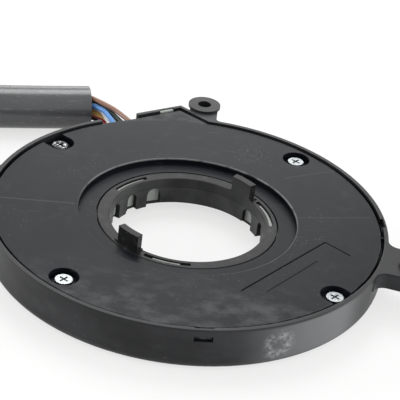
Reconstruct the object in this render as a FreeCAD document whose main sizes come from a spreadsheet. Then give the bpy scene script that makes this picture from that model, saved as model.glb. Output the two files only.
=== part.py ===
import FreeCAD, Part
import math
import os
import re
import Sketcher
from FreeCAD import Placement, Rotation, Vector

# A steering angle sensor: a flat round housing with a rotor in its open middle.
# Millimetres, +Z up. Heights in the sheet are measured from the base plane; every
# sub-part's Placement then drops by ear_bottom, so that the origin lies on the bore's
# axis in the plane of the ears' undersides, which is where the sensor seats.

doc = FreeCAD.newDocument("AngleSensor")
sheet = doc.addObject("Spreadsheet::Sheet", "Sizes")

CELLS = [
    # rotor hub: what stands about its bore follows from the bore
    ("bore_radius", 19.42), ("hub_wall", 0.98), ("hub_bottom", 2.4), ("finger_bottom", 1.7),
    ("hook_top", 2.5), ("hook_out", 0.6), ("hook_radius", "=bore_radius + hub_wall + hook_out"),
    ("flange_width", 2.05), ("flange_radius", "=bore_radius + hub_wall + flange_width"),
    ("flange_thick", 0.8), ("flange_top", 9.5), ("group_turn", 19.5),
    ("window_step", 20.0), ("window_width", 3.75), ("window_mid_width", 3.1),
    ("window_top", 6.8), ("slot_inner", "=bore_radius + hub_wall"), ("slot_inset", 0.95),
    ("slot_outer", "=flange_radius - slot_inset"),
    ("slot_a_from", -16.0), ("slot_a_to", 16.4), ("slot_b_from", -15.1), ("slot_b_to", 13.7),
    ("slot_c_from", -15.3), ("slot_c_to", 16.7),
    ("tab_inset", 1.25), ("tab_outer", "=flange_radius - tab_inset"), ("tab_top", 13.6),
    ("tab_span", 18.0), ("tab_first", 49.5), ("tab_second", -130.0), ("step_inset", 0.8),
    ("step_radius", "=flange_radius - step_inset"), ("step_span", 21.0), ("step_top", 9.8),
    ("sleeve_gap", 0.2), ("sleeve_inner", "=bore_radius + hub_wall + sleeve_gap"),
    ("sleeve_wall", 1.0), ("sleeve_outer", "=sleeve_inner + sleeve_wall"),
    # housing shell
    ("rim_radius", 50.0), ("rim_top", 11.4), ("wall_draft", 0.55), ("edge_round", 2.2),
    ("base_radius", "=rim_radius - wall_draft"), ("lip", 1.02), ("ledge_width", 2.38),
    ("ledge_radius", "=rim_radius - lip - ledge_width"), ("floor_thick", 1.5),
    ("base_gap", 0.3), ("base_bore", "=hook_radius + base_gap"), ("collar_gap", 0.3),
    ("collar_thick", 1.2), ("collar_top", 4.8), ("groove_deep", 2.5), ("under_width", 4.7),
    ("under_radius", "=base_bore + under_width"), ("under_deep", 1.2), ("floor_step_width", 5.9),
    ("floor_step_radius", "=base_bore + floor_step_width"), ("floor_step_top", 2.35),
    # cable outlet: a thin straight wall that leaves the circle, turns and comes back; its
    # ends stand on the rim and its corner beyond it, each in a direction from the axis
    ("outlet_start_turn", 122.16), ("outlet_peak_turn", 96.18), ("outlet_end_turn", 87.25),
    ("outlet_out", 6.68), ("outlet_wall", 1.05), ("wire_gate", 10.76),
    ("outlet_start_x", "=rim_radius * cos(outlet_start_turn)"),
    ("outlet_start_y", "=rim_radius * sin(outlet_start_turn)"),
    ("outlet_peak_x", "=(rim_radius + outlet_out) * cos(outlet_peak_turn)"),
    ("outlet_peak_y", "=(rim_radius + outlet_out) * sin(outlet_peak_turn)"),
    ("outlet_end_x", "=rim_radius * cos(outlet_end_turn)"),
    ("outlet_end_y", "=rim_radius * sin(outlet_end_turn)"),
    ("wall_turn", "=atan2(outlet_peak_y - outlet_start_y; outlet_peak_x - outlet_start_x)"),
    ("wire_gate_x", "=outlet_start_x + wire_gate * cos(wall_turn)"),
    ("wire_gate_y", "=outlet_start_y + wire_gate * sin(wall_turn)"),
    ("clip_length", 4.2), ("clip_back", 3.0), ("clip_low", 8.4), ("clip_top", 11.2),
    ("clip_thick", 0.75), ("clip_inset", 0.55),
    # cover
    ("cover_gap", 0.75), ("cover_radius", "=rim_radius - lip - cover_gap"),
    ("cover_top", 11.0), ("cover_thick", 1.2),
    ("recess_width", 4.75), ("recess_radius", "=flange_radius + recess_width"),
    ("recess_depth", 1.5), ("step_wall", 1.2),
    ("hub_gap", 0.3), ("cover_round", 0.18), ("nub_turn", 0.2), ("nub_width", 0.35),
    # screws, a square pattern: each has its own direction and its own inset from the rim
    ("turn_back_right", 52.6), ("turn_front_right", -37.4), ("turn_front_left", -127.0),
    ("turn_back_left", 142.4), ("inset_back_right", 6.35), ("inset_front_right", 4.0),
    ("inset_front_left", 6.45), ("inset_back_left", 4.9),
    ("well_radius", 3.6), ("well_floor", 9.2), ("well_wall", 0.8), ("room_gap", 0.42),
    ("head_radius", 2.05), ("head_thick", 1.1), ("shank_radius", 0.95), ("shank_length", 6.0),
    ("pilot_radius", 1.05), ("boss_radius", 2.8), ("shank_hole", 1.25),
    # ears
    ("ear_reach", 57.7), ("ear_pad", 4.45), ("ear_pad_top", 12.0), ("ear_bottom", 7.2),
    ("ear_hole", 1.85), ("ear_back", 89.6), ("ear_right", -11.9), ("ear_left", 175.9),
    ("back_half", 3.85), ("back_fillet", 1.3), ("side_half", 6.2), ("side_fillet", 2.8),
    # rim notch and latch
    ("notch_turn", 7.6), ("notch_width", 4.0), ("notch_deep", 0.57), ("latch_turn", -81.7),
    ("latch_width", 4.4), ("latch_low", 8.0), ("latch_high", 9.4), ("tongue_gap", 0.2),
    # gears
    ("tooth_size", 1.0), ("drive_teeth", 54), ("gear_low", 5.2), ("gear_face", 2.6),
    ("sleeve_bottom", 2.6), ("key_top", 9.15), ("key_in", 0.1), ("key_out", 0.35),
    ("key_a_from", -15.4), ("key_a_to", 12.3), ("key_b_from", -12.6), ("key_b_to", 13.2),
    ("key_c_from", -9.0), ("key_c_to", 9.8), ("tooth_play", 0.16), ("pair_teeth_a", 18),
    ("pair_teeth_b", 17), ("pair_turn_a", -98.0), ("pair_turn_b", -64.5),
    ("boss_low", 4.5), ("gear_boss", 3.0), ("magnet_radius", 2.0), ("magnet_top", 6.5),
    ("spindle_radius", 1.2), ("spindle_top", 8.6), ("spindle_gap", 0.15),
    ("socket_outer", 2.4), ("socket_low", 8.1),
    # electronics
    ("board_low", 2.6), ("board_thick", 1.0), ("board_clear_in", 1.5),
    ("board_inner", "=sleeve_outer + collar_gap + collar_thick + board_clear_in"),
    ("board_clear_out", 0.7), ("board_outer", "=ledge_radius - board_clear_out"),
    ("board_gap", 0.5), ("post_radius", 1.6), ("carrier_low", 4.45), ("carrier_thick", 0.5),
    ("carrier_gap", 0.2), ("carrier_disc", 5.6), ("carrier_bar", 6.0), ("leg_radius", 1.1),
    # wires and sleeve
    ("wire_dia", 1.3), ("sleeve_dia", 12.0), ("mouth_radius", 5.1), ("mouth_depth", 11.0),
]
for row, (alias, number) in enumerate(CELLS, start=1):
    sheet.set("A%d" % row, alias.replace("_", " "))
    sheet.set("B%d" % row, str(number))
    sheet.setAlias("B%d" % row, alias)
doc.recompute()
ALIASES = set(alias for alias, number in CELLS)
PARTS = []


def num(alias):
    return float(getattr(sheet, alias))


def formula(text):
    return re.sub(r"[a-z_]+", lambda m: "Sizes." + m.group(0) if m.group(0) in ALIASES else m.group(0), text)


def bind(obj, **sizes):
    for prop, text in sizes.items():
        obj.setExpression(prop.replace("__", "."), formula(text))
    return obj


def place(obj, x="0", y="0", z="0", turn=None):
    bind(obj, Placement__Base__x=x, Placement__Base__y=y, Placement__Base__z=z)
    if turn is not None:
        bind(obj, Placement__Rotation__Angle=turn)
    return obj


def cylinder(name, radius, low, high, x="0", y="0", span=None, turn=None):
    obj = doc.addObject("Part::Cylinder", name)
    bind(obj, Radius=radius, Height="(%s) - (%s)" % (high, low))
    if span is not None:
        bind(obj, Angle=span)
    return place(obj, x, y, low, turn)


def around(obj, reach, turn, low, across=None):
    # puts an object at a reach from the axis in a direction; across centres a box's width
    side = "0" if across is None else "(%s) / 2" % across
    x = "(%s) * cos(%s) + %s * sin(%s)" % (reach, turn, side, turn)
    y = "(%s) * sin(%s) - %s * cos(%s)" % (reach, turn, side, turn)
    return place(obj, x, y, low, turn)


def block(name, reach, turn, long, wide, low, high):
    # a box whose inner end stands at the reach, long outwards and wide across
    obj = doc.addObject("Part::Box", name)
    bind(obj, Length=long, Width=wide, Height="(%s) - (%s)" % (high, low))
    return around(obj, reach, turn, low, wide)


def fuse(name, shapes):
    obj = doc.addObject("Part::MultiFuse", name)
    obj.Shapes = shapes
    return obj


def cut(name, base, tools):
    obj = doc.addObject("Part::Cut", name)
    obj.Base = base
    obj.Tool = tools[0] if len(tools) == 1 else fuse(name + "Tools", tools)
    return obj


def common(name, first, second):
    obj = doc.addObject("Part::Common", name)
    obj.Base = first
    obj.Tool = second
    return obj


def ring(name, inner, outer, low, high, span=None, turn=None):
    solid = cylinder(name + "Solid", outer, low, high, span=span, turn=turn)
    return cut(name, solid, [cylinder(name + "Bore", inner, "(%s) - 1" % low, "(%s) + 1" % high)])


def polygon(body, name, corners, role):
    # a closed sketch of straight lines, every corner tied to the sheet
    sketch = body.newObject("Sketcher::SketchObject", name)
    plane = [f for f in body.Origin.OriginFeatures if f.Role == role][0]
    sketch.AttachmentSupport = (plane, [""])
    sketch.MapMode = "FlatFace"
    count = len(corners)
    start = []
    for i in range(count):
        angle = 2 * math.pi * i / count
        start.append(Vector(30 + 10 * math.cos(angle), 30 + 10 * math.sin(angle), 0))
    for i in range(count):
        sketch.addGeometry(Part.LineSegment(start[i], start[(i + 1) % count]), False)
    for i in range(count):
        sketch.addConstraint(Sketcher.Constraint("Coincident", i, 2, (i + 1) % count, 1))
    for i, (x, y) in enumerate(corners):
        at_x = sketch.addConstraint(Sketcher.Constraint("DistanceX", -1, 1, i, 1, start[i].x))
        at_y = sketch.addConstraint(Sketcher.Constraint("DistanceY", -1, 1, i, 1, start[i].y))
        sketch.setExpression("Constraints[%d]" % at_x, formula(x))
        sketch.setExpression("Constraints[%d]" % at_y, formula(y))
    return sketch


def turned(name, corners):
    # a body of revolution about Z: corners are (radius, height)
    body = doc.addObject("PartDesign::Body", name)
    sketch = polygon(body, name + "Section", corners, "XZ_Plane")
    rev = body.newObject("PartDesign::Revolution", name + "Turn")
    rev.Profile = sketch
    rev.ReferenceAxis = (sketch, ["V_Axis"])
    rev.Angle = 360
    doc.recompute()
    return body


def prism(name, corners, low, high):
    body = doc.addObject("PartDesign::Body", name)
    sketch = polygon(body, name + "Outline", corners, "XY_Plane")
    pad = body.newObject("PartDesign::Pad", name + "Pad")
    pad.Profile = sketch
    bind(pad, Length="(%s) - (%s)" % (high, low))
    place(body, z=low)
    doc.recompute()
    return body


def rounded(body, name, radius, wanted):
    # rounds the body's edges for which wanted(edge) holds
    doc.recompute()
    tip = body.Tip
    names = []
    for i, edge in enumerate(tip.Shape.Edges, start=1):
        if wanted(edge):
            names.append("Edge%d" % i)
    fillet = body.newObject("PartDesign::Fillet", name)
    fillet.Base = (tip, names)
    bind(fillet, Radius=radius)
    doc.recompute()
    return fillet


def subpart(obj, label, low="0"):
    # the finished object gets its file name and drops to the seating plane
    obj.Label = label
    obj.setExpression("Placement.Base.z", formula("(%s) - ear_bottom" % low))
    PARTS.append(obj)
    return obj


def solid_part(shape, label):
    obj = doc.addObject("Part::Feature", label)
    obj.Shape = shape
    obj.Placement = Placement(Vector(0, 0, -num("ear_bottom")), Rotation()).multiply(shape.Placement)
    obj.Label = label
    PARTS.append(obj)
    return obj


def circle_edge(radius, height):
    def wanted(edge):
        box = edge.BoundBox
        flat = abs(box.ZMin - height) < 0.01 and abs(box.ZMax - height) < 0.01
        return flat and abs(box.XMax - radius) < 0.02 and abs(box.XMin + radius) < 0.02
    return wanted


# The four screws: front left and back right stand further in than the other two.
SCREWS = [
    ("BackRight", "turn_back_right", "rim_radius - inset_back_right"),
    ("FrontRight", "turn_front_right", "rim_radius - inset_front_right"),
    ("FrontLeft", "turn_front_left", "rim_radius - inset_front_left"),
    ("BackLeft", "turn_back_left", "rim_radius - inset_back_left"),
]


def at_screw(name, radius, low, high, turn, reach):
    obj = doc.addObject("Part::Cylinder", name)
    bind(obj, Radius=radius, Height="(%s) - (%s)" % (high, low))
    return around(obj, reach, turn, low)


# Housing base: one moulded tray with floor, wall, lip, cable outlet, bosses and ears.
shell = turned("Shell", [("0", "0"), ("base_radius", "0"), ("rim_radius", "rim_top"), ("0", "rim_top")])
rounded(shell, "ShellRound", "edge_round", circle_edge(num("base_radius"), 0.0))
outlet = prism("Outlet", [
    ("outlet_start_x", "outlet_start_y"), ("outlet_peak_x", "outlet_peak_y"),
    ("outlet_end_x", "outlet_end_y"), ("outlet_end_x", "20"), ("outlet_start_x", "20"),
], "0", "rim_top")


def ear(name, turn, half, fillet):
    # a plate with a round end and hollow flares to the rim, under a raised round pad
    neck = block(name + "Neck", "44", turn, "ear_reach - 44", half + " * 2", "ear_bottom", "rim_top")
    end = doc.addObject("Part::Cylinder", name + "End")
    bind(end, Radius=half, Height="rim_top - ear_bottom")
    around(end, "ear_reach", turn, "ear_bottom")
    wide = "(%s + %s) * 2" % (half, fillet)
    middle = "sqrt((rim_radius + %s)^2 - (%s + %s)^2)" % (fillet, half, fillet)
    flare = block(name + "Flare", "44", turn, middle + " - 44", wide, "ear_bottom", "rim_top")
    hollows = []
    for side, sign in (("A", "1"), ("B", "-1")):
        hollow = doc.addObject("Part::Cylinder", name + "Hollow" + side)
        bind(hollow, Radius=fillet, Height="rim_top - ear_bottom + 2")
        off = "%s * (%s + %s)" % (sign, half, fillet)
        x = "(%s) * cos(%s) - (%s) * sin(%s)" % (middle, turn, off, turn)
        y = "(%s) * sin(%s) + (%s) * cos(%s)" % (middle, turn, off, turn)
        hollows.append(place(hollow, x, y, "ear_bottom - 1"))
    web = cut(name + "Web", flare, hollows)
    pad = doc.addObject("Part::Cylinder", name + "Pad")
    bind(pad, Radius="ear_pad", Height="ear_pad_top - rim_top + 0.1")
    around(pad, "ear_reach", turn, "rim_top - 0.1")
    hole = doc.addObject("Part::Cylinder", name + "Hole")
    bind(hole, Radius="ear_hole", Height="ear_pad_top - ear_bottom + 2")
    around(hole, "ear_reach", turn, "ear_bottom - 1")
    return [neck, end, web, pad], hole


ear_solids = []
ear_holes = []
for name, turn, half, fillet in (("EarBack", "ear_back", "back_half", "back_fillet"),
                                 ("EarRight", "ear_right", "side_half", "side_fillet"),
                                 ("EarLeft", "ear_left", "side_half", "side_fillet")):
    solids, hole = ear(name, turn, half, fillet)
    ear_solids += solids
    ear_holes.append(hole)

cavity = cylinder("Cavity", "ledge_radius", "floor_thick", "rim_top + 1")
lip_space = cylinder("LipSpace", "rim_radius - lip", "cover_top - cover_thick", "rim_top + 1")
peak_y = "outlet_peak_y - outlet_wall * 1.12"
inner_corners = [
    ("outlet_start_x + outlet_wall * 0.5", "outlet_start_y - outlet_wall"), ("outlet_peak_x", peak_y),
    ("outlet_end_x - outlet_wall * 0.4", "outlet_end_y - outlet_wall * 0.9"),
    ("outlet_end_x - outlet_wall * 0.4", "20"), ("outlet_start_x + outlet_wall * 0.5", "20"),
]
outlet_space = prism("OutletSpace", inner_corners, "floor_thick", "rim_top + 1")
base_bore = cylinder("BaseBore", "base_bore", "0 - 1", "rim_top + 1")

# The wires' gate: the straight wall is missing from the rim's end to the wall's end.
gate = doc.addObject("Part::Box", "Gate")
bind(gate, Length="wire_gate + 0.2", Width="outlet_wall * 6", Height="rim_top - floor_thick + 1")
place(gate, "outlet_start_x - 0.2 * cos(wall_turn) + outlet_wall * 3 * sin(wall_turn)",
      "outlet_start_y - 0.2 * sin(wall_turn) - outlet_wall * 3 * cos(wall_turn)", "floor_thick", "wall_turn")


def by_outlet(obj, inward, low):
    # stands a box in the straight outlet wall's frame, its inner face a distance inward
    x = "outlet_peak_x - (clip_length + clip_back) * cos(wall_turn) + (%s) * sin(wall_turn)" % inward
    y = "outlet_peak_y - (clip_length + clip_back) * sin(wall_turn) - (%s) * cos(wall_turn)" % inward
    return place(obj, x, y, low, "wall_turn")


# A pocket in the inner half of the outlet's wall takes the pale clip.
pocket = doc.addObject("Part::Box", "ClipPocket")
bind(pocket, Length="clip_length", Width="1.6 - clip_inset", Height="rim_top + 1 - clip_low")
by_outlet(pocket, "1.55", "clip_low")
notch = block("RimNotch", "ledge_radius", "notch_turn", "rim_radius - lip + notch_deep - ledge_radius",
              "notch_width", "cover_top - cover_thick", "rim_top + 1")
groove = ring("GapGroove", "cover_radius + 0.03", "rim_radius - lip",
              "cover_top - cover_thick - groove_deep", "cover_top - cover_thick + 0.2")
latch_slot = block("LatchSlot", "ledge_radius - 1", "latch_turn", "6", "latch_width", "latch_low", "latch_high")
latch_path = block("LatchPath", "ledge_radius - 1", "latch_turn", "rim_radius - lip + 0.35 - ledge_radius + 1",
                   "latch_width", "latch_low", "rim_top + 1")
# room in the ledge for the cover's four screw wells
well_room = []
for name, turn, reach in SCREWS:
    room = at_screw("WellRoom" + name, "well_radius + well_wall + room_gap",
                    "well_floor - well_wall", "rim_top + 1", turn, reach)
    limit = cylinder("WellLimit" + name, "rim_radius - lip", "0", "rim_top + 2")
    well_room.append(common("WellSpace" + name, room, limit))

collar = ring("Collar", "sleeve_outer + collar_gap", "sleeve_outer + collar_gap + collar_thick",
              "floor_thick - 0.5", "collar_top")
floor_step = ring("FloorStep", "base_bore", "floor_step_radius", "floor_thick - 0.5", "floor_step_top")
under = cylinder("UnderRecess", "under_radius", "0 - 1", "under_deep")
bosses = []
pilots = []
for name, turn, reach in SCREWS:
    bosses.append(at_screw("Boss" + name, "boss_radius", "floor_thick - 0.5",
                           "well_floor - well_wall", turn, reach))
    pilots.append(at_screw("Pilot" + name, "pilot_radius",
                           "well_floor - shank_length - 0.6", "well_floor", turn, reach))
posts = []
for i, turn in enumerate(("10", "100", "195", "285")):
    posts.append(at_screw("Post%d" % i, "post_radius", "floor_thick - 0.5", "board_low", turn, "board_inner + 2.2"))

walls = cut("Walls", fuse("Blank", [shell, outlet] + ear_solids),
            [cavity, lip_space, outlet_space, gate, pocket, notch, groove, latch_slot, latch_path] + well_room)
tray = fuse("Tray", [walls, collar, floor_step] + bosses + posts)
housing = cut("Housing", tray, [base_bore, under] + pilots + ear_holes)
subpart(housing, "housing_base")

clip = doc.addObject("Part::Box", "Clip")
bind(clip, Length="clip_length - 0.1", Width="clip_thick", Height="clip_top - clip_low")
subpart(by_outlet(clip, "clip_inset + clip_thick", "clip_low"), "outlet_clip", "clip_low")

# Cover: a flat lid with a sunk ring about the rotor, four screw wells and a latch tongue.
lid = turned("Lid", [
    ("flange_radius + hub_gap", "cover_top - recess_depth - cover_thick"),
    ("recess_radius + step_wall", "cover_top - recess_depth - cover_thick"),
    ("recess_radius + step_wall", "cover_top - cover_thick"), ("cover_radius", "cover_top - cover_thick"),
    ("cover_radius", "cover_top"), ("recess_radius", "cover_top"),
    ("recess_radius", "cover_top - recess_depth"), ("flange_radius + hub_gap", "cover_top - recess_depth"),
])
rounded(lid, "LidRound", "cover_round", lambda e: circle_edge(num("cover_radius"), num("cover_top"))(e)
        or circle_edge(num("recess_radius"), num("cover_top"))(e))
flap = prism("Flap", [
    ("outlet_start_x + 0.3", "outlet_start_y - 1.6"), ("wire_gate_x", "wire_gate_y - 2.4"),
    ("outlet_peak_x", "outlet_peak_y - 2.2"), ("outlet_end_x - 0.2", "outlet_end_y - 1.75"),
    ("outlet_end_x - 0.2", "30"), ("outlet_start_x + 0.3", "30"),
], "cover_top - cover_thick", "cover_top")
rounded(flap, "FlapRound", "cover_round", lambda e: abs(e.BoundBox.ZMin - num("cover_thick")) < 0.01
        and e.CenterOfMass.y > num("outlet_start_y") - 6)
cups = []
wells = []
clearances = []
for name, turn, reach in SCREWS:
    cup = at_screw("Cup" + name, "well_radius + well_wall", "well_floor - well_wall",
                   "cover_top - cover_thick * 0.5", turn, reach)
    cups.append(common("CupTrim" + name, cup, cylinder("CupLimit" + name, "cover_radius - 0.02", "0", "rim_top + 2")))
    wells.append(at_screw("Well" + name, "well_radius", "well_floor", "rim_top + 1", turn, reach))
    clearances.append(at_screw("Hole" + name, "shank_hole", "0", "rim_top + 1", turn, reach))
for name, turn, reach in (SCREWS[1], SCREWS[3]):
    wells.append(block("WellMouth" + name, reach, turn, "8", "well_radius * 2 - 0.2", "well_floor", "rim_top + 1"))
tongue = block("Tongue", "cover_radius - 0.8", "latch_turn", "rim_radius - lip - cover_radius + 0.8",
               "latch_width - tongue_gap * 2", "latch_low + tongue_gap", "cover_top - 0.3")
sockets = []
for name, turn, pair in (("A", "pair_turn_a", "pair_teeth_a"), ("B", "pair_turn_b", "pair_teeth_b")):
    reach = "(drive_teeth + %s) * tooth_size / 2" % pair
    outer = at_screw("SocketSolid" + name, "socket_outer", "socket_low", "cover_top - cover_thick * 0.5", turn, reach)
    inner = at_screw("SocketBore" + name, "spindle_radius + spindle_gap", "socket_low - 1",
                     "cover_top - cover_thick - 0.6", turn, reach)
    sockets.append(cut("Socket" + name, outer, [inner]))
nub = block("Nub", "cover_radius - 0.5", "nub_turn", "rim_radius - lip - cover_radius + 0.45",
            "nub_width", "cover_top - cover_thick", "cover_top - 0.1")
lid_solid = fuse("LidSolid", [lid, flap, nub] + cups + [tongue])
lid_open = cut("LidOpen", lid_solid, wells + clearances)
cover = fuse("Cover", [lid_open] + sockets)
subpart(cover, "cover_plate")

# Cover screws: four alike, a low round head with a cross recess.
screws = []
for name, turn, reach in SCREWS:
    head = at_screw("Head" + name, "head_radius", "well_floor", "well_floor + head_thick", turn, reach)
    shank = at_screw("Shank" + name, "shank_radius", "well_floor - shank_length",
                     "well_floor + 0.1", turn, reach)
    slot_a = block("SlotA" + name, "%s - head_radius * 0.62" % reach, turn, "head_radius * 1.24",
                   "head_radius * 0.26", "well_floor + head_thick - 0.6", "well_floor + head_thick + 1")
    slot_b = block("SlotB" + name, "%s - head_radius * 0.13" % reach, turn, "head_radius * 0.26",
                   "head_radius * 1.24", "well_floor + head_thick - 0.6", "well_floor + head_thick + 1")
    screws.append(cut("Screw" + name, fuse("ScrewBlank" + name, [head, shank]), [slot_a, slot_b]))
subpart(fuse("Screws", screws), "cover_screws")

# Rotor hub: flange, thin bore wall with nine arched windows, six hooks and two tabs.
hub_top = "flange_top - flange_thick"
hub = turned("Hub", [
    ("bore_radius", "hub_bottom"), ("bore_radius + hub_wall", "hub_bottom"),
    ("bore_radius + hub_wall", hub_top), ("flange_radius", hub_top),
    ("flange_radius", "flange_top"), ("bore_radius", "flange_top"),
])
rounded(hub, "HubRound", "0.22", lambda e: circle_edge(num("flange_radius"), num("flange_top"))(e)
        or circle_edge(num("bore_radius"), num("flange_top"))(e))
hub_adds = []
hub_cuts = []
for g in range(3):
    middle = "group_turn + %d" % (120 * g)
    first = "slot_%s_from" % "abc"[g]
    last = "slot_%s_to" % "abc"[g]
    slot = ring("Slot%d" % g, "slot_inner", "slot_outer", hub_top + " - 0.2", "flange_top + 1",
                span="%s - (%s)" % (last, first), turn="%s + %s" % (middle, first))
    hub_cuts.append(slot)
    for w, wide in ((-1, "window_width"), (0, "window_mid_width"), (1, "window_width")):
        turn = "%s + %d * window_step" % (middle, w)
        tag = "%d%s" % (g, "abc"[w + 1])
        hub_cuts.append(block("Window" + tag, "bore_radius - 1", turn, "hub_wall + 1.4", wide,
                              "finger_bottom - 1", "window_top - (%s) / 2" % wide))
        arch = doc.addObject("Part::Cylinder", "Arch" + tag)
        bind(arch, Radius="(%s) / 2" % wide, Height="hub_wall + 1.4")
        arch.Placement = Placement(Vector(0, 0, 0), Rotation(Vector(0, 0, 1), 0))
        place(arch, "(bore_radius - 1) * cos(%s)" % turn, "(bore_radius - 1) * sin(%s)" % turn,
              "window_top - (%s) / 2" % wide)
        degrees = num("group_turn") + 120 * g + w * num("window_step")
        arch.Placement.Rotation = Rotation(Vector(0, 0, 1), degrees) * Rotation(Vector(0, 1, 0), 90)
        hub_cuts.append(arch)
    for f in (-1, 1):
        turn = "%s + %d * window_step / 2 - 4.4" % (middle, f)
        tag = "%d%s" % (g, "ab"[(f + 1) // 2])
        hub_adds.append(ring("Finger" + tag, "bore_radius", "bore_radius + hub_wall", "finger_bottom",
                             "hub_bottom + 0.5", span="8.8", turn=turn))
        hub_adds.append(ring("Hook" + tag, "bore_radius + hub_wall * 0.5", "hook_radius", "finger_bottom",
                             "hook_top", span="8.8", turn=turn))
hub_open = cut("HubOpen", hub, hub_cuts)
for name, turn in (("A", "tab_first"), ("B", "tab_second")):
    hub_adds.append(ring("Tab" + name, "bore_radius", "tab_outer", "flange_top - 0.4", "tab_top",
                         span="tab_span", turn="%s - tab_span / 2" % turn))
    hub_adds.append(ring("Foot" + name, "bore_radius", "step_radius", "flange_top - 0.4", "step_top",
                         span="step_span", turn="%s - step_span / 2" % turn))
subpart(fuse("RotorHub", [hub_open] + hub_adds), "rotor_hub")


# Gears: involute flanks of 20 degrees drawn as short straight lines.
def gear_face(teeth, turn, play):
    size = num("tooth_size")
    pitch = teeth * size / 2.0
    base = pitch * math.cos(math.radians(20))
    tip = pitch + size
    root = pitch - 1.25 * size
    lean = math.tan(math.radians(20)) - math.radians(20)
    half = (math.pi * size / 2.0 - play) / (2.0 * pitch) + lean
    first = max(base, root)
    flank = []
    for k in range(5):
        r = first + (tip - first) * k / 4.0
        press = math.acos(min(1.0, base / r))
        flank.append((r, half - (math.tan(press) - press)))
    points = []
    for tooth in range(teeth):
        middle = math.radians(turn) + 2 * math.pi * tooth / teeth
        side = [(root, middle - flank[0][1])] if root < first - 0.01 else []
        side += [(r, middle - off) for r, off in flank]
        side += [(r, middle + off) for r, off in reversed(flank)]
        side += [(root, middle + flank[0][1])] if root < first - 0.01 else []
        points += [Vector(r * math.cos(a), r * math.sin(a), 0) for r, a in side]
    wire = Part.makePolygon(points + [points[0]])
    return Part.Face(wire).extrude(Vector(0, 0, num("gear_face")))


def tube(inner, outer, low, high):
    solid = Part.makeCylinder(outer, high - low, Vector(0, 0, low))
    if inner > 0:
        solid = solid.cut(Part.makeCylinder(inner, high - low + 2, Vector(0, 0, low - 1)))
    return solid


gear_low = num("gear_low")
gear_high = gear_low + num("gear_face")
sleeve_top = num("flange_top") - num("flange_thick")
drive = gear_face(int(num("drive_teeth")), 0.0, num("tooth_play"))
drive.translate(Vector(0, 0, gear_low))
drive = drive.cut(tube(0, num("sleeve_inner"), gear_low - 1, gear_high + 1))
drive = drive.fuse(tube(num("sleeve_inner"), num("sleeve_outer"), num("sleeve_bottom"), sleeve_top))
for g in range(3):
    first = num("key_%s_from" % "abc"[g])
    last = num("key_%s_to" % "abc"[g])
    key = Part.makeCylinder(num("slot_outer") - num("key_out"), num("key_top") - sleeve_top + 0.3,
                            Vector(0, 0, sleeve_top - 0.3), Vector(0, 0, 1), last - first)
    key.rotate(Vector(0, 0, 0), Vector(0, 0, 1), num("group_turn") + 120 * g + first)
    drive = drive.fuse(key.cut(tube(0, num("slot_inner") + num("key_in"), 0, 20)))
solid_part(drive.removeSplitter(), "drive_gear")

# Two measuring gears of unlike tooth counts, each with a pressed-in magnet.
for letter in ("a", "b"):
    teeth = int(num("pair_teeth_" + letter))
    turn = num("pair_turn_" + letter)
    reach = (num("drive_teeth") + teeth) * num("tooth_size") / 2.0
    phase = turn / (360.0 / num("drive_teeth"))
    face = gear_face(teeth, turn + 180 - (360.0 / teeth) * (0.5 - phase), num("tooth_play"))
    face.translate(Vector(0, 0, gear_low))
    wheel = face.fuse(tube(0, num("gear_boss"), num("boss_low"), gear_low + 0.2))
    wheel = wheel.fuse(tube(0, num("spindle_radius"), gear_high - 0.2, num("spindle_top")))
    wheel = wheel.cut(tube(0, num("magnet_radius") + 0.02, num("boss_low") - 1, num("magnet_top")))
    spot = Vector(reach * math.cos(math.radians(turn)), reach * math.sin(math.radians(turn)), 0)
    wheel = wheel.removeSplitter()
    wheel.translate(spot)
    solid_part(wheel, "measuring_gear_" + letter)
    magnet = at_screw("Magnet" + letter.upper(), "magnet_radius", "boss_low", "magnet_top",
                      "pair_turn_" + letter, "(drive_teeth + pair_teeth_%s) * tooth_size / 2" % letter)
    subpart(magnet, "magnet_" + letter, "boss_low")

# Circuit board: a ring cut away about the bosses.
board_high = "board_low + board_thick"
board_cuts = []
for name, turn, reach in SCREWS:
    board_cuts.append(at_screw("BoardGap" + name, "boss_radius + board_gap", "board_low - 1",
                               board_high + " + 1", turn, reach))
board = cut("Board", ring("BoardRing", "board_inner", "board_outer", "board_low", board_high), board_cuts)
subpart(board, "circuit_board")


def chip(name, reach, turn, long, wide, tall):
    return block(name, "%s - (%s) / 2" % (reach, long), turn, long, wide, board_high, board_high + " + " + tall)


subpart(fuse("SensorChips", [
    chip("ChipA", "(drive_teeth + pair_teeth_a) * tooth_size / 2", "pair_turn_a", "4.0", "5.0", "0.7"),
    chip("ChipB", "(drive_teeth + pair_teeth_b) * tooth_size / 2", "pair_turn_b", "4.0", "5.0", "0.7"),
]), "sensor_chips")
subpart(chip("Processor", "36", "180", "8.0", "8.0", "1.2"), "microcontroller", board_high)
subpart(chip("Transceiver", "36", "158", "5.0", "4.0", "1.4"), "bus_transceiver", board_high)
subpart(chip("Regulator", "36", "205", "6.5", "5.5", "1.6"), "voltage_regulator", board_high)
subpart(chip("Crystal", "36", "15", "5.0", "3.2", "1.1"), "crystal", board_high)
subpart(fuse("Capacitors", [
    chip("Capacitor%d" % i, "40", str(turn), "3.2", "1.6", "1.4") for i, turn in enumerate((30, 38, 64, 72, -10, 222))
]), "capacitors")
subpart(fuse("Resistors", [
    chip("Resistor%d" % i, "30.5", str(turn), "1.6", "0.9", "0.5")
    for i, turn in enumerate((24, 34, 44, 64, 150, 170, 190, 210))
]), "resistors")

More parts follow.
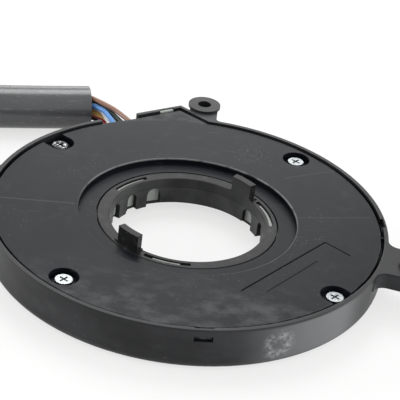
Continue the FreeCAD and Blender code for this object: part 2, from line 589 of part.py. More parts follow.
# Carrier: a plate over the board that holds the measuring gears' lower bosses.
reach_a = "(drive_teeth + pair_teeth_a) * tooth_size / 2"
reach_b = "(drive_teeth + pair_teeth_b) * tooth_size / 2"
carrier_high = "carrier_low + carrier_thick"
discs = [
    at_screw("CarrierDiscA", "carrier_disc", "carrier_low", carrier_high, "pair_turn_a", reach_a),
    at_screw("CarrierDiscB", "carrier_disc", "carrier_low", carrier_high, "pair_turn_b", reach_b),
    block("CarrierBar", "33.2", "(pair_turn_a + pair_turn_b) / 2", "carrier_bar", "17",
          "carrier_low", carrier_high),
]
legs = []
for i, (turn, reach) in enumerate((("pair_turn_a - 8", "39"), ("pair_turn_b + 8", "39"),
                                   ("(pair_turn_a + pair_turn_b) / 2", "35"))):
    legs.append(at_screw("Leg%d" % i, "leg_radius", board_high, "carrier_low + 0.1", turn, reach))
seats = [
    at_screw("SeatA", "gear_boss + carrier_gap", "carrier_low - 1", carrier_high + " + 1", "pair_turn_a", reach_a),
    at_screw("SeatB", "gear_boss + carrier_gap", "carrier_low - 1", carrier_high + " + 1", "pair_turn_b", reach_b),
]
subpart(cut("Carrier", fuse("CarrierBlank", discs + legs), seats), "gear_carrier")


# Cords: straight runs joined by tangent arcs, each arc as large as its two runs allow.
def route(points, name):
    points = [Vector(*p) for p in points]
    edges = []
    here = points[0]
    radii = []
    for i in range(1, len(points) - 1):
        back = points[i - 1] - points[i]
        ahead = points[i + 1] - points[i]
        short = min(back.Length, ahead.Length)
        back.normalize()
        ahead.normalize()
        half = (math.pi - back.getAngle(ahead)) / 2
        radius = 0.45 * short / math.tan(half)
        radii.append(round(radius, 1))
        enter = points[i] + back * (0.45 * short)
        leave = points[i] + ahead * (0.45 * short)
        inward = back + ahead
        inward.normalize()
        centre = points[i] + inward * (radius / math.cos(half))
        middle = centre - inward * radius
        edges.append(Part.LineSegment(here, enter).toShape())
        edges.append(Part.Arc(enter, middle, leave).toShape())
        here = leave
    edges.append(Part.LineSegment(here, points[-1]).toShape())
    wire = Part.Wire(edges)
    print(name, "length", round(wire.Length, 1), "radii", radii)
    return wire


def cord_solid(points, diameter, name):
    wire = route(points, name)
    start = Vector(*points[0])
    along = Vector(*points[1]) - start
    along.normalize()
    ring_wire = Part.Wire(Part.Circle(start, along, diameter / 2.0).toShape())
    solid = wire.makePipeShell([ring_wire], True, True, 2)
    share = solid.Volume / (math.pi * diameter ** 2 / 4.0 * wire.Length)
    if abs(share - 1.0) > 0.02:
        raise ValueError("%s has the wrong volume, %.3f" % (name, share))
    return solid


# The sleeve lies on the surface below the base and leaves the housing to the left.
SLEEVE = [
    (-31.77, 58.57, 6.0), (-56.4, 51.8, 6.0), (-82.5, 47.6, 6.0), (-109.5, 44.4, 6.0), (-135.5, 39.5, 6.0),
]
sleeve_axis = Vector(*SLEEVE[1]) - Vector(*SLEEVE[0])
sleeve_axis.normalize()
sleeve = cord_solid(SLEEVE, num("sleeve_dia"), "cable_sleeve")
mouth = Part.makeCylinder(num("mouth_radius"), num("mouth_depth") + 1, Vector(*SLEEVE[0]) - sleeve_axis, sleeve_axis)
solid_part(sleeve.cut(mouth), "cable_sleeve")

# Wires: nine, from the bottom of the sleeve's mouth to a terminal block in the outlet,
# behind the wires' bends.
WIRES = {
    "wire_brown": [(-42.25, 55.18, 9.74), (-34.00, 58.38, 10.19), (-26.75, 53.84, 10.04),
                   (-22.35, 51.04, 9.47), (-15.85, 43.60, 8.70)],
    "wire_green": [(-42.69, 56.80, 8.44), (-34.20, 59.12, 9.18), (-26.72, 55.07, 8.53),
                   (-23.71, 50.82, 8.32), (-17.55, 42.44, 8.25)],
    "wire_white": [(-42.39, 55.69, 7.39), (-34.19, 59.08, 7.66), (-27.07, 57.49, 7.22),
                   (-23.14, 52.12, 7.61), (-17.19, 42.69, 6.61)],
    "wire_blue": [(-41.98, 54.21, 7.70), (-33.59, 56.91, 8.29), (-27.53, 53.78, 8.66),
                  (-24.92, 49.65, 8.40), (-19.93, 40.81, 7.82)],
    "wire_yellow": [(-42.83, 57.31, 5.54), (-34.47, 60.10, 5.44), (-27.30, 58.05, 5.36),
                    (-23.24, 53.40, 6.02), (-18.96, 41.47, 5.82)],
    "wire_grey": [(-42.47, 55.98, 5.87), (-34.11, 58.77, 5.52), (-28.19, 55.88, 7.59),
                  (-25.39, 50.39, 6.86), (-20.66, 40.30, 6.68)],
    "wire_tan": [(-41.98, 54.20, 5.73), (-33.44, 56.35, 6.15), (-29.52, 55.45, 6.15),
                 (-24.54, 52.89, 5.61), (-19.58, 41.05, 4.40)],
    "wire_red": [(-42.12, 54.71, 4.40), (-33.75, 57.48, 4.92), (-28.61, 56.59, 4.84),
                 (-25.05, 52.87, 4.04), (-22.39, 39.13, 6.19)],
    "wire_black": [(-42.46, 55.95, 3.10), (-34.06, 58.61, 3.06), (-28.93, 57.74, 3.19),
                   (-24.76, 54.33, 2.86), (-21.13, 39.98, 4.40)],
}
for name, points in WIRES.items():
    solid_part(cord_solid(points, num("wire_dia"), name), name)

# Terminal block on the board, inside the outlet: the wires end at its face.
terminal = doc.addObject("Part::Box", "TerminalBox")
bind(terminal, Length="9.2", Width="5.0", Height="9.4 - board_low - board_thick")
place(terminal, "outlet_start_x + 1.2 * cos(wall_turn) + 10 * sin(wall_turn)",
      "outlet_start_y + 1.2 * sin(wall_turn) - 10 * cos(wall_turn)", board_high, "wall_turn")
subpart(terminal, "terminal_block", board_high)

# Connector at the sleeve's far end: housing, latch and eight blade terminals.
end = Vector(*SLEEVE[-1])
heading = end - Vector(*SLEEVE[-2])
heading.normalize()
turn_out = math.degrees(math.atan2(heading.y, heading.x))


def at_connector(shape):
    shape.rotate(Vector(0, 0, 0), Vector(0, 0, 1), turn_out)
    shape.translate(Vector(end.x, end.y, 0))
    return shape


plug = Part.makeBox(24, 22, 13, Vector(0, -11, 0))
plug = plug.makeFillet(1.0, [e for e in plug.Edges if abs(e.BoundBox.ZLength - 13) < 0.01])
plug = plug.cut(Part.makeBox(10, 18.8, 9.8, Vector(15, -9.4, 1.6)))
solid_part(at_connector(plug), "connector_housing")
latch = Part.makeBox(14, 6, 1.4, Vector(6, -3, 13.6))
latch = latch.fuse(Part.makeBox(3, 6, 1.4, Vector(6, -3, 13.0)))
latch = latch.fuse(Part.makeBox(2, 6, 1.2, Vector(18, -3, 14.6)))
solid_part(at_connector(latch.removeSplitter()), "connector_latch")
pins = None
for i in range(4):
    for z in (4.2, 8.4):
        pin = Part.makeBox(4.4, 1.4, 0.64, Vector(15, -7.6 + 4.6 * i, z))
        pins = pin if pins is None else pins.fuse(pin)
solid_part(at_connector(pins), "connector_terminals")

doc.recompute()
failed = [o.Name for o in doc.Objects if "Invalid" in o.State or "Error" in o.State]
for obj in PARTS:
    if obj.Shape.isNull() or not obj.Shape.isValid() or obj.Shape.Volume <= 0:
        failed.append(obj.Label)
if failed:
    raise ValueError("failed: " + ", ".join(failed))
os.makedirs("parts", exist_ok=True)
for obj in PARTS:
    obj.Shape.exportStep("parts/%s.step" % obj.Label)
    box = obj.Shape.BoundBox
    print("%-20s %9.1f mm3  %d solid  z %.2f..%.2f" % (
        obj.Label, obj.Shape.Volume, len(obj.Shape.Solids), box.ZMin, box.ZMax))
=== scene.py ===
import math

import bmesh
import bpy
from mathutils import Matrix, Vector


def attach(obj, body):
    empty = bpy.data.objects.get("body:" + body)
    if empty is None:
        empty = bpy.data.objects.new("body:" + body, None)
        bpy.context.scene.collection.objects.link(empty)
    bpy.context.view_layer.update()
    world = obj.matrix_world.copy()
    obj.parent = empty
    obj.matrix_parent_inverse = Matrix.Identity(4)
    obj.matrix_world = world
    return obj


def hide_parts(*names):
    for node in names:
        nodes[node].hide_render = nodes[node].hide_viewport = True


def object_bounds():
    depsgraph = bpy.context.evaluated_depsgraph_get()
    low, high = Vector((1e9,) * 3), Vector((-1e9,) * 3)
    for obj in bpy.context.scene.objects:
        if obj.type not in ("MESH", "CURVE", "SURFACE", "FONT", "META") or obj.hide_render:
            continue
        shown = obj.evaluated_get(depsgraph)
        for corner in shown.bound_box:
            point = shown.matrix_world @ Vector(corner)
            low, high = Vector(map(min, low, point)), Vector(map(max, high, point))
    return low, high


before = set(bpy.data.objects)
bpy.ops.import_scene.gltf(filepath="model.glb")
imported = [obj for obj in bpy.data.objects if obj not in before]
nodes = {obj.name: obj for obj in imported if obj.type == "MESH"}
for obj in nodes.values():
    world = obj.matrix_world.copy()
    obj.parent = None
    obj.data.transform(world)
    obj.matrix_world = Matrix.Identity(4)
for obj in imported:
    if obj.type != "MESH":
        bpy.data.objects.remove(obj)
cad_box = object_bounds()

# The camera stands in front of the sensor and looks down on it by 30.6 degrees with a
# long lens, turned 7 degrees on its own axis, as the photograph was taken.
camera = bpy.data.objects.new("photo_camera", bpy.data.cameras.new("photo_camera"))
bpy.context.scene.collection.objects.link(camera)
camera.data.sensor_width = 36.0
camera.data.lens = 144.602
camera.data.clip_start = 0.01
camera.data.clip_end = 10.0
eye = Vector((0.0025, -0.34088, 0.2095))
right = Vector((0.99200, 0.06422, 0.10864))
up = Vector((-0.12620, 0.50480, 0.85396))
back = Vector((0.0, -0.86085, 0.50887))
turned = Matrix((right, up, back)).transposed().to_4x4()
camera.matrix_world = Matrix.Translation(eye) @ turned
bpy.context.scene.camera = camera
bpy.context.scene.view_settings.view_transform = "Standard"


# Table: a sheet of plain white card, laid flat, which goes on to the picture's edges. Seen
# straight on it is lit up to white and keeps a little of the sensor's shadow.
class Shade:
    """A shader socket that adds, multiplies and compares like a number."""

    def __init__(self, tree, socket=None):
        self.tree = tree
        self.socket = socket

    def feed(self, target, value):
        if isinstance(value, Shade):
            self.tree.links.new(value.socket, target)
        else:
            target.default_value = value

    def node(self, kind, settings=None, output=0, **inputs):
        # any node: its type, its settings, which output is used, and its inputs, by name
        # or as i and their number
        made = self.tree.nodes.new(kind)
        for key, value in (settings or {}).items():
            setattr(made, key, value)
        for key, value in inputs.items():
            spot = int(key[1:]) if key[1:].isdigit() else key.replace("_", " ")
            self.feed(made.inputs[spot], value)
        return Shade(self.tree, made.outputs[output])

    def math(self, operation, first, second=0.0):
        return self.node("ShaderNodeMath", {"operation": operation}, i0=first, i1=second)

    def __add__(self, other):
        return self.math("ADD", self, other)

    def __sub__(self, other):
        return self.math("SUBTRACT", self, other)

    def __rsub__(self, other):
        return self.math("SUBTRACT", other, self)

    def __mul__(self, other):
        return self.math("MULTIPLY", self, other)

    __radd__ = __add__
    __rmul__ = __mul__

    def larger(self, other):
        return self.math("MAXIMUM", self, other)

    def between(self, low, high):
        # 0 at low, 1 at high and smooth in the middle
        settings = {"interpolation_type": "SMOOTHSTEP"}
        return self.node("ShaderNodeMapRange", settings, Value=self, From_Min=low, From_Max=high)

    def within(self, rise, fall):
        # 1 from the end of the rise to the start of the fall and 0 outside both
        return self.between(*rise) * (1.0 - self.between(*fall))

    def blend(self, first, second):
        # a colour that goes from first to second as this value goes from 0 to 1
        settings = {"data_type": "RGBA"}
        return self.node("ShaderNodeMix", settings, 2, i0=self, i6=first, i7=second)

    def place(self, stretch=(1.0, 1.0, 1.0)):
        # the spot on the piece in millimetres
        sized = tuple(1000.0 * s for s in stretch)
        spot = self.node("ShaderNodeTexCoord", None, "Object")
        return self.node("ShaderNodeVectorMath", {"operation": "MULTIPLY"}, i0=spot, i1=sized)

    def axis(self, number):
        return self.node("ShaderNodeSeparateXYZ", None, number, Vector=self.place())

    def away(self, *spot):
        # distance in millimetres from a spot, along as many axes as it is given in
        steps = [self.axis(number) - at for number, at in enumerate(spot)]
        return self.math("SQRT", sum(step * step for step in steps))

    def noise(self, scale, detail=2.0, rough=0.5, stretch=(1.0, 1.0, 1.0)):
        spot = self.place(stretch)
        return self.node("ShaderNodeTexNoise", Vector=spot, Scale=scale, Detail=detail,
                         Roughness=rough)

    def specks(self, scale, share):
        # small round grains on a share of the surface
        near = self.node("ShaderNodeTexVoronoi", Vector=self.place(), Scale=scale)
        clustered = self.noise(scale * 0.11).between(1.0 - share, 1.05 - share)
        return (1.0 - near).between(0.86, 0.93) * clustered

    def line(self, start, end, half):
        # a straight stroke on the top face between two spots in millimetres
        x, y = self.axis(0) - start[0], self.axis(1) - start[1]
        run = math.dist(start, end)
        ux, uy = (end[0] - start[0]) / run, (end[1] - start[1]) / run
        along = x * ux + y * uy
        off = self.math("ABSOLUTE", y * ux - x * uy)
        width = 1.0 - off.between(half * 0.5, half * 1.3)
        return along.within((-half, 0.0), (run, run + half)) * width

    def bump(self, height, distance, strength=1.0):
        return self.node("ShaderNodeBump", Height=height, Distance=distance, Strength=strength)

    def lay_over(self, factor, shader):
        # another shader that shows over the plain surface where the factor says so
        plain = Shade(self.tree, self.tree.nodes["Principled BSDF"].outputs[0])
        mixed = self.node("ShaderNodeMixShader", i0=factor, i1=plain, i2=shader)
        self.feed(self.tree.nodes["Material Output"].inputs["Surface"], mixed)

    def seen_straight(self):
        # 1 for the camera's own rays and those that come by a mirror or through glass
        path = self.node("ShaderNodeLightPath").socket.node
        kinds = ("Is Camera Ray", "Is Glossy Ray", "Is Transmission Ray")
        rays = [Shade(self.tree, path.outputs[kind]) for kind in kinds]
        return rays[0].larger(rays[1]).larger(rays[2])


def finish(name, **sockets):
    # a new material, a brush for its nodes, and its surface shader's sockets with what is
    # the same all over
    material = bpy.data.materials.new(name)
    material.use_nodes = True
    surface = material.node_tree.nodes["Principled BSDF"]
    for key, value in sockets.items():
        surface.inputs[key.replace("_", " ")].default_value = value
    return material, Shade(material.node_tree), surface.inputs


card_half = 3.0
card_white_low, card_white_high = (0.93, 0.93, 0.93, 1.0), (0.96, 0.96, 0.96, 1.0)
card_lit_up = 0.68
card = bpy.data.meshes.new("table_card")
shape = bmesh.new()
bmesh.ops.create_grid(shape, x_segments=2, y_segments=2, size=card_half)
shape.to_mesh(card)
shape.free()
table = bpy.data.objects.new("table_card", card)
table.location = (0, 0, cad_box[0][2])
bpy.context.scene.collection.objects.link(table)
material, brush, surface = finish("table_card", Roughness=0.8, Specular_IOR_Level=0.1)
brush.feed(surface["Base Color"], brush.noise(0.6, 3.0).blend(card_white_low, card_white_high))
glow = brush.node("ShaderNodeEmission", Color=(1.0, 0.998, 0.995, 1.0), Strength=1.0)
brush.lay_over(brush.seen_straight() * card_lit_up, glow)
card.materials.append(material)

# Studio light: a white room, a tall soft lamp high behind the sensor, which lies as a
# bright band along the sleeve, a low one there that the cover mirrors, and two low soft
# lamps at the sides for the wall.
room_light = 0.68
world = bpy.data.worlds.new("white_room")
bpy.context.scene.world = world
world.use_nodes = True
room = Shade(world.node_tree)
background = room.tree.nodes["Background"]
background.inputs["Color"].default_value = (1.0, 1.0, 1.0, 1.0)
room.feed(background.inputs["Strength"], room_light + room.seen_straight() * (1.0 - room_light))


def lamp(name, spot, size, power):
    # a soft lamp that faces the sensor
    data = bpy.data.lights.new(name, "AREA")
    data.shape = "RECTANGLE"
    data.size, data.size_y = size
    data.energy = power
    made = bpy.data.objects.new(name, data)
    made.location = spot
    made.rotation_euler = (-Vector(spot)).to_track_quat("-Z", "Y").to_euler()
    bpy.context.scene.collection.objects.link(made)


lamp("back_lamp", (-0.04, 0.33, 0.50), (0.18, 0.33), 1.2)
lamp("low_back_lamp", (0.0, 0.36, 0.11), (0.25, 0.10), 0.19)
lamp("left_lamp", (-0.70, 0.06, 0.16), (0.40, 0.22), 2.4)
lamp("right_lamp", (0.68, -0.16, 0.14), (0.40, 0.22), 3.0)


# Housing base: an injection-moulded tray of black filled polyamide, semi-gloss, with
# three screw ears, a thin lip about the lid and a low straight wall at the cable outlet.
# Its wall has a dusty rubbed patch and a painted sheen at the front right, and its lip carries a
# thin painted highlight over some wear.
def dress(material, *names):
    # gives parts of the frame their finish
    for name in names:
        nodes[name].data.materials.clear()
        nodes[name].data.materials.append(material)


def moulded(name, tint, rough, gloss, marks=None):
    # filled black plastic from a mould: fine eroded grain, flow shading and dust; marks
    # gives the piece's own whitish marks, with painted highlights and sheen among them, and
    # its dark engraved lines and painted shade, if it has any
    dust_grey = (0.6, 0.61, 0.62, 1.0)
    groove_and_shade_black = (0.004, 0.004, 0.004, 1.0)
    darker = tuple(c * 0.7 for c in tint) + (1.0,)
    lighter = tuple(c * 1.35 for c in tint) + (1.0,)
    material, brush, surface = finish(name, Specular_IOR_Level=gloss)
    flow = brush.noise(0.05, 4.0, 0.6).between(0.3, 0.7)
    dust = brush.noise(0.16, 4.0, 0.68).between(0.52, 0.8)
    pale_marks_and_highlights = dust * 0.022 + brush.specks(0.9, 0.42) * 0.2 + brush.specks(2.1, 0.36) * 0.12
    if marks:
        own, grooves_and_painted_shade = marks(brush)
        pale_marks_and_highlights = pale_marks_and_highlights + own
        # the engraved lines and any painted shade are laid over in a flat black
        if grooves_and_painted_shade:
            brush.lay_over(grooves_and_painted_shade, brush.node("ShaderNodeBsdfDiffuse", Color=groove_and_shade_black))
    uneven = brush.noise(0.09, 4.0, 0.6) * 0.16 + (rough - 0.08)
    brush.feed(surface["Base Color"], pale_marks_and_highlights.blend(flow.blend(darker, lighter), dust_grey))
    brush.feed(surface["Roughness"], uneven + pale_marks_and_highlights * 0.5)
    brush.feed(surface["Normal"], brush.bump(brush.noise(5.5, 2.0), 0.00002, 0.3))
    return material


def housing_marks_and_painted_light(brush):
    x, y, z, reach = brush.axis(0), brush.axis(1), brush.axis(2), brush.away(0.0, 0.0)
    # the rubbed patch is a ring about a spot that stayed clean
    ring = brush.away(24.5, -43.6, -1.6).within((0.4, 2.4), (2.2, 5.0))
    rubbed = ring * brush.noise(0.9, 4.0, 0.75).between(0.4, 0.66) * 0.34
    # a thin painted highlight along the lip's edge, with some rubbed wear
    lip_painted_highlight = reach.within((48.9, 49.0), (49.05, 49.25)) * z.between(4.0, 4.18)
    worn = lip_painted_highlight * brush.noise(0.35, 3.0).between(0.3, 0.6) * 0.05
    # a thin dusty film on the outside of the wall, and a painted sheen at the front right, where
    # the wall catches light
    side = reach.between(49.0, 49.6) * (1.0 - z.between(3.2, 4.0))
    film = side * brush.noise(0.05, 3.0, 0.6, (1.0, 1.0, 3.0)).between(0.3, 0.75) * 0.02
    front = (0.0 - y).between(0.0, 20.0)
    painted_sheen = side * x.within((12.0, 34.0), (38.0, 45.0)) * front * 0.2
    return rubbed + worn + film + painted_sheen, None


housing_tint = (0.013, 0.0135, 0.015)
dress(moulded("housing_black", housing_tint, 0.42, 0.24, housing_marks_and_painted_light), "housing_base")


# Cover: a separately moulded lid of the same plastic with a slightly blue sheen, sunk
# about the rotor, held by four screws and a snap tongue. It has a plain engraved bracket
# at the front right, faint seams where the melt met, and dust and smears from handling.
# Painted highlights lie along its outer edge and the edge of its step, and the step's wall
# is painted black as shade.
def cover_marks_and_painted_light(brush):
    x, y, z, reach = brush.axis(0), brush.axis(1), brush.axis(2), brush.away(0.0, 0.0)
    corner = (34.2, -5.5)
    grooves_and_painted_shade = brush.line((14.6, -31.4), corner, 0.24)
    grooves_and_painted_shade = grooves_and_painted_shade.larger(brush.line(corner, (40.3, -10.2), 0.22))
    grooves_and_painted_shade = grooves_and_painted_shade.larger(brush.line((20.6, -30.4), (32.3, -14.5), 0.17) * 0.8)
    seams = brush.line((-46.4, -3.7), (-28.0, -2.1), 0.28)
    seams = seams.larger(brush.line((27.4, 4.6), (45.7, 9.0), 0.24) * 0.6)
    seams = seams.larger(brush.line((23.7, 23.7), (38.3, 31.7), 0.3) * 0.5)
    front = (0.0 - y).between(22.0, 42.0)
    smears = front * brush.noise(0.11, 5.0, 0.66, (1.0, 1.3, 1.0)).between(0.42, 0.7)
    scuffed = 1.0 - brush.away(14.4, 35.6).between(2.0, 7.0)
    scuffs = scuffed * brush.noise(1.3, 3.0, 0.7).between(0.55, 0.7)
    hairs = brush.noise(0.9, 2.0, 0.5, (0.12, 1.6, 1.0)).between(0.7, 0.76)
    # a painted highlight along the cover's outer edge
    outer_edge_highlight = reach.between(47.85, 48.05) * brush.noise(0.4, 3.0).between(0.35, 0.6)
    # the step down to the rotor: a painted highlight along its edge, stronger at the back and
    # right, over a wall painted black as shade, with a fine lighter ridge along the wall's middle
    step = reach.within((27.0, 27.15), (27.45, 27.6))
    rubbed = step * z.between(3.35, 3.6) * brush.noise(0.3, 3.0).between(0.2, 0.5)
    painted_highlight_side = y.between(-5.0, 15.0) * 0.22 + x.between(4.0, 18.0) * 0.08
    # painted shade: the step's wall is laid over in black, a little lighter at a fine ridge
    recess_wall_painted_shade = step * z.within((2.35, 2.5), (3.3, 3.55))
    ridge = z.within((2.7, 2.78), (2.9, 2.98))
    grooves_and_painted_shade = grooves_and_painted_shade.larger(recess_wall_painted_shade * (0.75 - ridge * 0.4))
    pale_marks_and_highlights = seams * 0.05 + smears * 0.085 + scuffs * 0.16 + (hairs + outer_edge_highlight) * 0.05
    return pale_marks_and_highlights + rubbed * painted_highlight_side, grooves_and_painted_shade * 0.92


cover_tint = (0.006, 0.0075, 0.0098)
dress(moulded("cover_black", cover_tint, 0.36, 0.11, cover_marks_and_painted_light), "cover_plate")

# Cover screws: zinc-plated steel, thread-forming, with a cross recess in a low head; the
# one at the back left, which sits in its well's shade, is painted dark with painted glints here and
# there.
material, brush, surface = finish("zinc_steel", Metallic=1.0)
worn = brush.noise(1.5, 3.0)
plated = worn.blend((0.2, 0.21, 0.21, 1.0), (0.56, 0.6, 0.61, 1.0))
# painted shade and painted glints for the back-left screw in its well
painted_glints = brush.noise(1.7, 3.0, 0.6).between(0.52, 0.6)
shaded_with_painted_glints = painted_glints.blend((0.02, 0.02, 0.022, 1.0), (0.5, 0.51, 0.52, 1.0))
back_left_painted_shade = (0.0 - brush.axis(0)).between(10.0, 12.0) * brush.axis(1).between(10.0, 12.0)
brush.feed(surface["Base Color"], back_left_painted_shade.blend(plated, shaded_with_painted_glints))
brush.feed(surface["Roughness"], worn * 0.22 + 0.2)
brush.feed(surface["Normal"], brush.bump(brush.noise(2.4, 3.0), 0.00006, 0.5))
dress(material, "cover_screws")


# Rotor hub: a thin-walled ring of black plastic that snaps into the drive gear with six
# hooks; two tabs on its rim take the turning of the steering shaft. Its bore wall carries a
# painted light sheen, stronger below a painted dark line that stands for the shade of a
# small step in the wall.
def rotor_marks_and_painted_light(brush):
    z, reach = brush.axis(2), brush.away(0.0, 0.0)
    bore = 1.0 - reach.between(19.55, 19.7)
    # painted shade: a dark line round the bore for a small step, and a painted sheen on the bore
    # wall that is weaker above it
    line = z.within((-0.42, -0.3), (-0.2, -0.08)) * bore
    above_painted_step = z.between(-0.2, 0.0)
    film = bore * brush.noise(0.12, 3.0).between(0.2, 0.7) * (0.085 - above_painted_step * 0.04)
    flange = reach.between(20.0, 20.5)
    rubbed = flange * brush.noise(0.4, 4.0, 0.65).between(0.5, 0.75) * 0.05
    return film + rubbed, line * 0.4


rotor_tint = (0.012, 0.0122, 0.0122)
dress(moulded("rotor_black", rotor_tint, 0.38, 0.17, rotor_marks_and_painted_light), "rotor_hub")

# Drive gear, measuring gears and the small clip in the outlet's wall: unfilled natural
# polyacetal, moulded, milky with a hint of green, a little dirty where it shows.
material, brush, surface = finish("natural_plastic", Subsurface_Weight=0.12,
                                  Subsurface_Radius=(0.001, 0.001, 0.001))
milky = brush.noise(0.5, 4.0, 0.6)
brush.feed(surface["Base Color"], milky.blend((0.25, 0.27, 0.25, 1.0), (0.38, 0.40, 0.37, 1.0)))
brush.feed(surface["Roughness"], milky * 0.2 + 0.35)
dress(material, "drive_gear", "measuring_gear_a", "measuring_gear_b", "outlet_clip")

# Electronics under the cover: a green glass-fibre board with moulded chips, a can crystal,
# ceramic capacitors and small resistors soldered on it, and the gears' sintered magnets.
material, brush, surface = finish("solder_mask", Roughness=0.35)
warp = brush.noise(2.0, 2.0, 0.5, (1.0, 4.0, 1.0))
weft = brush.noise(2.0, 2.0, 0.5, (4.0, 1.0, 1.0))
mask = (warp * weft).blend((0.01, 0.1, 0.035, 1.0), (0.03, 0.24, 0.09, 1.0))
brush.feed(surface["Base Color"], mask)
dress(material, "circuit_board")
material, brush, surface = finish("ceramic_body", Roughness=0.5)
fired = brush.noise(4.0, 3.0).blend((0.28, 0.19, 0.12, 1.0), (0.45, 0.33, 0.22, 1.0))
brush.feed(surface["Base Color"], fired)
dress(material, "capacitors")


def grained(name, scale, first, second, roughness, stretch=(1.0, 1.0, 1.0), metal=0.0):
    # a finish of two tones in a fine grain, rougher where it is lighter
    material, brush, surface = finish(name, Metallic=metal)
    grain = brush.noise(scale, 3.0, 0.5, stretch)
    brush.feed(surface["Base Color"], grain.blend(first + (1.0,), second + (1.0,)))
    brush.feed(surface["Roughness"], grain * roughness[1] + roughness[0])
    return material


dress(grained("chip_moulding", 6.0, (0.012, 0.012, 0.013), (0.035, 0.035, 0.036), (0.4, 0.2)),
      "sensor_chips", "microcontroller", "bus_transceiver", "voltage_regulator", "resistors")
dress(grained("sintered_magnet", 8.0, (0.16, 0.16, 0.165), (0.34, 0.34, 0.35), (0.4, 0.3),
              metal=0.8), "magnet_a", "magnet_b")
dress(grained("tin_plating", 3.0, (0.6, 0.59, 0.56), (0.78, 0.77, 0.74), (0.2, 0.25),
              stretch=(0.3, 3.0, 3.0), metal=1.0), "crystal", "connector_terminals")


# Cable sleeve: a soft grey-black tube of plasticised vinyl over the nine wires, cut off
# square; it lies on the table behind the sensor, goes out of the picture at the left and
# ends at the plug. Its mesh follows the route and has an open mouth for the wires.
def route(name, points):
    # a smooth line through the room between the points
    curve = bpy.data.curves.new(name, "CURVE")
    curve.dimensions = "3D"
    line = curve.splines.new("NURBS")
    line.points.add(len(points) - 1)
    for point, spot in zip(line.points, points):
        point.co = (spot[0], spot[1], spot[2], 1.0)
    line.order_u = 3
    line.use_endpoint_u = True
    curve.resolution_u = 24
    return bpy.data.objects.new(name, curve)


guide = route("sleeve_route", [
    (-0.03177, 0.05857, -0.0012), (-0.0564, 0.0518, -0.0012), (-0.0825, 0.0476, -0.0012),
    (-0.1095, 0.0444, -0.0012), (-0.1355, 0.0395, -0.0012),
])
centre_line = bpy.data.meshes.new_from_object(guide)
sleeve_path = [vertex.co.copy() for vertex in centre_line.vertices]
bpy.data.objects.remove(guide)
sleeve_radius = 0.00597
mouth_radius = 0.0051
mouth_depth = 0.0105
cut_edge = 0.0001
closed = 0.0005
around = 64
crease = math.radians(40)
heading = (sleeve_path[0] - sleeve_path[1]).normalized()
# the profile goes from the mouth's bottom over the cut edge and along the outside
mouth = [(mouth_depth, closed), (mouth_depth, mouth_radius), (cut_edge, mouth_radius),
         (0.0, mouth_radius + cut_edge), (0.0, sleeve_radius - cut_edge),
         (cut_edge, sleeve_radius)]
profile = [(sleeve_path[0] - heading * depth, heading, radius) for depth, radius in mouth]
for before, spot, after in zip(sleeve_path, sleeve_path[1:], sleeve_path[2:]):
    profile.append((spot, (before - after).normalized(), sleeve_radius))
tail = (sleeve_path[-2] - sleeve_path[-1]).normalized()
profile += [(sleeve_path[-1], tail, sleeve_radius), (sleeve_path[-1], tail, closed)]
turns = [math.tau * k / around for k in range(around)]
shape = bmesh.new()
rings = []
for spot, line, radius in profile:
    side = line.cross(Vector((0, 0, 1))).normalized()
    top = side.cross(line)
    rings.append([shape.verts.new(spot + (side * math.cos(turn) + top * math.sin(turn)) * radius)
                  for turn in turns])
for first, second in zip(rings, rings[1:]):
    for k in range(around):
        n = (k + 1) % around
        shape.faces.new((first[k], first[n], second[n], second[k]))
shape.faces.new(rings[0])
shape.faces.new(rings[-1])
bmesh.ops.recalc_face_normals(shape, faces=shape.faces)
tube = bpy.data.meshes.new("vinyl_sleeve")
shape.to_mesh(tube)
shape.free()
for face in tube.polygons:
    face.use_smooth = True
tube.set_sharp_from_angle(angle=crease)
sleeve = bpy.data.objects.new("vinyl_sleeve", tube)
bpy.context.scene.collection.objects.link(sleeve)
material, brush, surface = finish("vinyl_sleeve", Specular_IOR_Level=0.55)
cloudy = brush.noise(0.12, 3.0)
hairs = brush.noise(0.7, 3.0, 0.6, (0.25, 2.0, 3.0)).between(0.59, 0.7)
scratched = hairs * 0.2 + brush.specks(1.2, 0.45) * 0.15
soft = cloudy.blend((0.06, 0.061, 0.064, 1.0), (0.085, 0.087, 0.092, 1.0))
brush.feed(surface["Base Color"], scratched.blend(soft, (0.42, 0.42, 0.43, 1.0)))
brush.feed(surface["Roughness"], cloudy * 0.12 + 0.2)
brush.feed(surface["Normal"], brush.bump(brush.noise(2.5, 3.0), 0.000006, 0.15))
tube.materials.append(material)
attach(sleeve, "housing")
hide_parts("cable_sleeve")

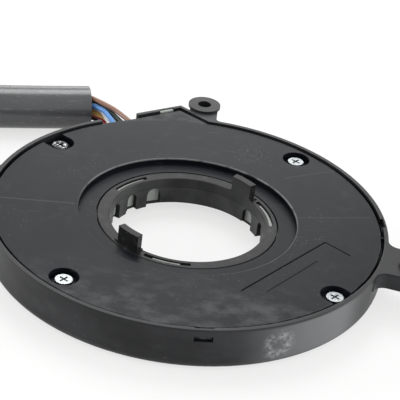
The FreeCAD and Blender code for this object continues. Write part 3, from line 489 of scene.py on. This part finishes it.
# Wires: nine thin-wall copper leads in coloured vinyl, which fan out of the sleeve's
# mouth and go down through the gate in the housing's wall to the terminal block.
wires = {
    "brown": (0.0320, (0.31, 0.16, 0.105), [
        (-0.04225, 0.05518, 0.00254), (-0.03400, 0.05838, 0.00299), (-0.02675, 0.05384, 0.00284),
        (-0.02235, 0.05104, 0.00227), (-0.01585, 0.04360, 0.00150)]),
    "green": (0.0325, (0.004, 0.018, 0.012), [
        (-0.04269, 0.05680, 0.00124), (-0.03420, 0.05912, 0.00198), (-0.02672, 0.05507, 0.00133),
        (-0.02371, 0.05082, 0.00112), (-0.01755, 0.04244, 0.00105)]),
    "white": (0.0335, (0.76, 0.75, 0.88), [
        (-0.04239, 0.05569, 0.00019), (-0.03419, 0.05908, 0.00046), (-0.02707, 0.05749, 0.00002),
        (-0.02314, 0.05212, 0.00041), (-0.01719, 0.04269, -0.00059)]),
    "blue": (0.0303, (0.11, 0.31, 0.72), [
        (-0.04198, 0.05421, 0.00050), (-0.03359, 0.05691, 0.00109), (-0.02753, 0.05378, 0.00146),
        (-0.02492, 0.04965, 0.00120), (-0.01993, 0.04081, 0.00062)]),
    "yellow": (0.0347, (0.9, 0.88, 0.2), [
        (-0.04283, 0.05731, -0.00166), (-0.03447, 0.06010, -0.00176), (-0.02730, 0.05805, -0.00184),
        (-0.02324, 0.05340, -0.00118), (-0.01896, 0.04147, -0.00138)]),
    "grey": (0.0324, (0.82, 0.82, 0.83), [
        (-0.04247, 0.05598, -0.00133), (-0.03411, 0.05877, -0.00168), (-0.02819, 0.05588, 0.00039),
        (-0.02539, 0.05039, -0.00034), (-0.02066, 0.04030, -0.00052)]),
    "tan": (0.0311, (0.64, 0.38, 0.09), [
        (-0.04198, 0.05420, -0.00147), (-0.03344, 0.05635, -0.00105), (-0.02952, 0.05545, -0.00105),
        (-0.02454, 0.05289, -0.00159), (-0.01958, 0.04105, -0.00280)]),
    "red": (0.0330, (0.5, 0.025, 0.03), [
        (-0.04212, 0.05471, -0.00280), (-0.03375, 0.05748, -0.00228), (-0.02861, 0.05659, -0.00236),
        (-0.02505, 0.05287, -0.00316), (-0.02239, 0.03913, -0.00101)]),
    "black": (0.0339, (0.012, 0.012, 0.013), [
        (-0.04246, 0.05595, -0.00410), (-0.03406, 0.05861, -0.00414), (-0.02893, 0.05774, -0.00401),
        (-0.02476, 0.05433, -0.00434), (-0.02113, 0.03998, -0.00280)]),
}
wire_width = 0.0013
for colour, (length, tint, points) in wires.items():
    material, brush, surface = finish(colour + "_vinyl", Specular_IOR_Level=0.5)
    uneven = brush.noise(0.8, 2.0)
    darker = tuple(c * 0.82 for c in tint) + (1.0,)
    brush.feed(surface["Base Color"], uneven.blend(darker, tint + (1.0,)))
    brush.feed(surface["Roughness"], uneven * 0.12 + 0.3)
    lead = route(colour + "_lead", points)
    lead.data.bevel_depth = wire_width / 2
    lead.data.bevel_resolution = 6
    lead.data.use_fill_caps = True
    lead.data.materials.append(material)
    bpy.context.scene.collection.objects.link(lead)
    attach(lead, "housing")
    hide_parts("wire_" + colour)

# Plug, terminal block and gear carrier: plain black plastic, moulded; the sleeve ends in
# the plug, whose latch is moulded in grey.
dress(moulded("plug_black", (0.02, 0.02, 0.021), 0.42, 0.4),
      "connector_housing", "terminal_block", "gear_carrier")
dress(grained("latch_grey", 0.6, (0.3, 0.3, 0.29), (0.38, 0.38, 0.37), (0.38, 0.15)),
      "connector_latch")
